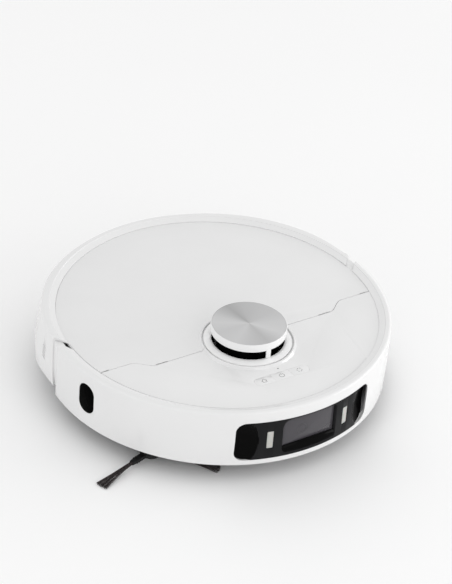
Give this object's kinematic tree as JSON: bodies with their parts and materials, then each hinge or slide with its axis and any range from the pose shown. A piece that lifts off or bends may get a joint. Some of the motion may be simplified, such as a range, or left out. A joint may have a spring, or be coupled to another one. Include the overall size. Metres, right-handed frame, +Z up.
{
  "type": "robot vacuum",
  "caption": "Round robot vacuum with a laser turret, sprung bumper with a sensor window, lift-off rear lid, brushes, sprung drive wheels and spinning mop pads.",
  "frame": {"origin": "centre of the flat underside plate, below the axis of the round body, 11 mm above the floor", "axes": "+Z up, shortest side; the robot drives towards -Y, and its left side is +X"},
  "size_m": [0.3661, 0.35, 0.1028],
  "materials": {
    "white_gloss": "mirror-gloss injection moulding",
    "white_satin": "fine satin moulding",
    "black_gloss": "piano-black gloss",
    "black_matte": "fine matt moulding",
    "dark_grey": "fine matt moulding",
    "mid_grey": "satin moulding",
    "spun_aluminium": "spun, radial highlights",
    "steel": "drawn steel can",
    "led_cover": "frosted light cover",
    "pane": "dark tinted glass",
    "smoke": "smoked translucent plastic",
    "rubber": "matt rubber",
    "tyre": "ribbed rubber tread",
    "bristle": "nylon bristles",
    "mop_fabric": "looped microfibre",
    "board": "solder-masked circuit board",
    "filter": "pleated filter paper",
    "battery_wrap": "shrink-wrapped cell pack"
  },
  "bodies": {
    "root": {"chassis": "dark_grey", "front_deck": "white_gloss", "rear_shell": "white_satin", "lidar_housing": "white_satin", "lidar_cap": "white_satin", "lidar_disc": "spun_aluminium", "lidar_motor": "steel", "lidar_belt": "rubber", "brush_housing": "dark_grey", "brush_guard": "mid_grey", "brush_motor": "steel", "brush_belt": "rubber", "main_board": "board", "battery_pack": "battery_wrap", "fan_housing": "dark_grey", "water_tank": "smoke", "water_pump": "dark_grey", "side_brush_gearbox": "dark_grey"},
    "bumper": {"bumper": "white_satin", "sensor_window": "black_gloss", "sensor_pane": "pane", "camera_module": "black_matte", "led_bar_right": "led_cover", "led_bar_left": "led_cover", "side_sensor_window": "black_gloss"},
    "key_right": {"key_right": "white_gloss"},
    "key_power": {"key_power": "white_gloss"},
    "key_left": {"key_left": "white_gloss"},
    "lid": {"rear_lid": "white_satin"},
    "bin": {"dust_bin": "smoke", "dust_bin_cover": "dark_grey", "dust_filter": "filter"},
    "lidar_head": {"lidar_rotor": "black_gloss"},
    "lidar_pulley": {"lidar_motor_pulley": "black_matte"},
    "roller": {"main_brush": "dark_grey", "brush_pulley": "mid_grey"},
    "roller_motor_pulley": {"brush_motor_pulley": "mid_grey"},
    "side_brush": {"side_brush_hub": "rubber", "side_brush_tuft_1": "bristle", "side_brush_tuft_2": "bristle", "side_brush_tuft_3": "bristle"},
    "impeller": {"fan_impeller": "mid_grey"},
    "arm_right": {"drive_arm_right": "dark_grey"},
    "arm_left": {"drive_arm_left": "dark_grey"},
    "wheel_right": {"wheel_tyre_right": "tyre", "wheel_hub_right": "mid_grey"},
    "wheel_left": {"wheel_tyre_left": "tyre", "wheel_hub_left": "mid_grey"},
    "caster_swivel": {"caster_fork": "mid_grey"},
    "caster_wheel": {"caster_wheel": "black_matte"},
    "mop_lift": {"mop_frame": "dark_grey", "mop_motor": "steel"},
    "mop_right": {"mop_gear_right": "mid_grey", "mop_disc_right": "dark_grey", "mop_pad_right": "mop_fabric"},
    "mop_left": {"mop_gear_left": "mid_grey", "mop_disc_left": "dark_grey", "mop_pad_left": "mop_fabric"},
    "mop_idler_right": {"mop_idler_right": "mid_grey"},
    "mop_idler_left": {"mop_idler_left": "mid_grey"}
  },
  "joints": [
    {"name": "bumper_press", "type": "slide", "parent": "root", "child": "bumper", "axis": [0, 1, 0], "range_m": [0, 0.003], "stiffness_N_per_m": 900, "springref_m": -0.003},
    {"name": "key_right_press", "type": "slide", "parent": "root", "child": "key_right", "axis": [0, 0, -1], "range_m": [0, 0.0008], "stiffness_N_per_m": 400, "springref_m": -0.0008},
    {"name": "key_power_press", "type": "slide", "parent": "root", "child": "key_power", "axis": [0, 0, -1], "range_m": [0, 0.0008], "stiffness_N_per_m": 400, "springref_m": -0.0008},
    {"name": "key_left_press", "type": "slide", "parent": "root", "child": "key_left", "axis": [0, 0, -1], "range_m": [0, 0.0008], "stiffness_N_per_m": 400, "springref_m": -0.0008},
    {"name": "lid_lift", "type": "slide", "parent": "root", "child": "lid", "axis": [0, 0, 1], "range_m": [0, 0.12]},
    {"name": "bin_unseat", "type": "slide", "parent": "root", "child": "bin", "axis": [0, 0, 1], "range_m": [0, 0.008]},
    {"name": "lidar_spin", "type": "hinge", "parent": "root", "child": "lidar_head", "pos_m": [0, -0.057, 0.069], "axis": [0, 0, 1], "continuous": true},
    {"name": "lidar_pulley_spin", "type": "hinge", "parent": "root", "child": "lidar_pulley", "pos_m": [0.026, -0.09, 0.048], "axis": [0, 0, 1], "continuous": true},
    {"name": "roller_spin", "type": "hinge", "parent": "root", "child": "roller", "pos_m": [0, -0.045, 0.01], "axis": [1, 0, 0], "continuous": true},
    {"name": "roller_motor_spin", "type": "hinge", "parent": "root", "child": "roller_motor_pulley", "pos_m": [0.075, -0.082, 0.019], "axis": [1, 0, 0], "continuous": true},
    {"name": "side_brush_spin", "type": "hinge", "parent": "root", "child": "side_brush", "pos_m": [-0.125, -0.087, -0.003], "axis": [0, 0, 1], "continuous": true},
    {"name": "impeller_spin", "type": "hinge", "parent": "root", "child": "impeller", "pos_m": [0.061, 0.032, 0.037], "axis": [0, 0, 1], "continuous": true},
    {"name": "suspension_right", "type": "hinge", "parent": "root", "child": "arm_right", "pos_m": [-0.097, 0.044, 0.029], "axis": [1, 0, 0], "range_deg": [0, 18], "stiffness_Nm_per_rad": 0.5, "springref_deg": 34.38},
    {"name": "suspension_left", "type": "hinge", "parent": "root", "child": "arm_left", "pos_m": [0.097, 0.044, 0.029], "axis": [1, 0, 0], "range_deg": [0, 18], "stiffness_Nm_per_rad": 0.5, "springref_deg": 34.38},
    {"name": "wheel_right_spin", "type": "hinge", "parent": "arm_right", "child": "wheel_right", "pos_m": [-0.127, 0, 0.024], "axis": [1, 0, 0], "continuous": true},
    {"name": "wheel_left_spin", "type": "hinge", "parent": "arm_left", "child": "wheel_left", "pos_m": [0.127, 0, 0.024], "axis": [1, 0, 0], "continuous": true},
    {"name": "caster_swivel", "type": "hinge", "parent": "root", "child": "caster_swivel", "pos_m": [0, -0.137, 0.009], "axis": [0, 0, 1], "continuous": true},
    {"name": "caster_roll", "type": "hinge", "parent": "caster_swivel", "child": "caster_wheel", "pos_m": [0, -0.131, 0.001], "axis": [1, 0, 0], "continuous": true},
    {"name": "mop_lift", "type": "slide", "parent": "root", "child": "mop_lift", "axis": [0, 0, 1], "range_m": [0, 0.0095]},
    {"name": "mop_right_spin", "type": "hinge", "parent": "mop_lift", "child": "mop_right", "pos_m": [-0.0675, 0.086, -0.005], "axis": [0, 0, 1], "continuous": true},
    {"name": "mop_left_spin", "type": "hinge", "parent": "mop_lift", "child": "mop_left", "pos_m": [0.0675, 0.086, -0.005], "axis": [0, 0, 1], "continuous": true},
    {"name": "mop_idler_right_spin", "type": "hinge", "parent": "mop_lift", "child": "mop_idler_right", "pos_m": [-0.0225, 0.086, 0.019], "axis": [0, 0, 1], "continuous": true},
    {"name": "mop_idler_left_spin", "type": "hinge", "parent": "mop_lift", "child": "mop_idler_left", "pos_m": [0.0225, 0.086, 0.019], "axis": [0, 0, 1], "continuous": true}
  ],
  "couplings": [
    {"joint": "lidar_pulley_spin", "follows": "lidar_spin", "ratio": 3},
    {"joint": "roller_motor_spin", "follows": "roller_spin", "ratio": 2.4},
    {"joint": "mop_idler_right_spin", "follows": "mop_right_spin", "ratio": -1},
    {"joint": "mop_idler_left_spin", "follows": "mop_right_spin", "ratio": 1},
    {"joint": "mop_left_spin", "follows": "mop_right_spin", "ratio": -1}
  ]
}
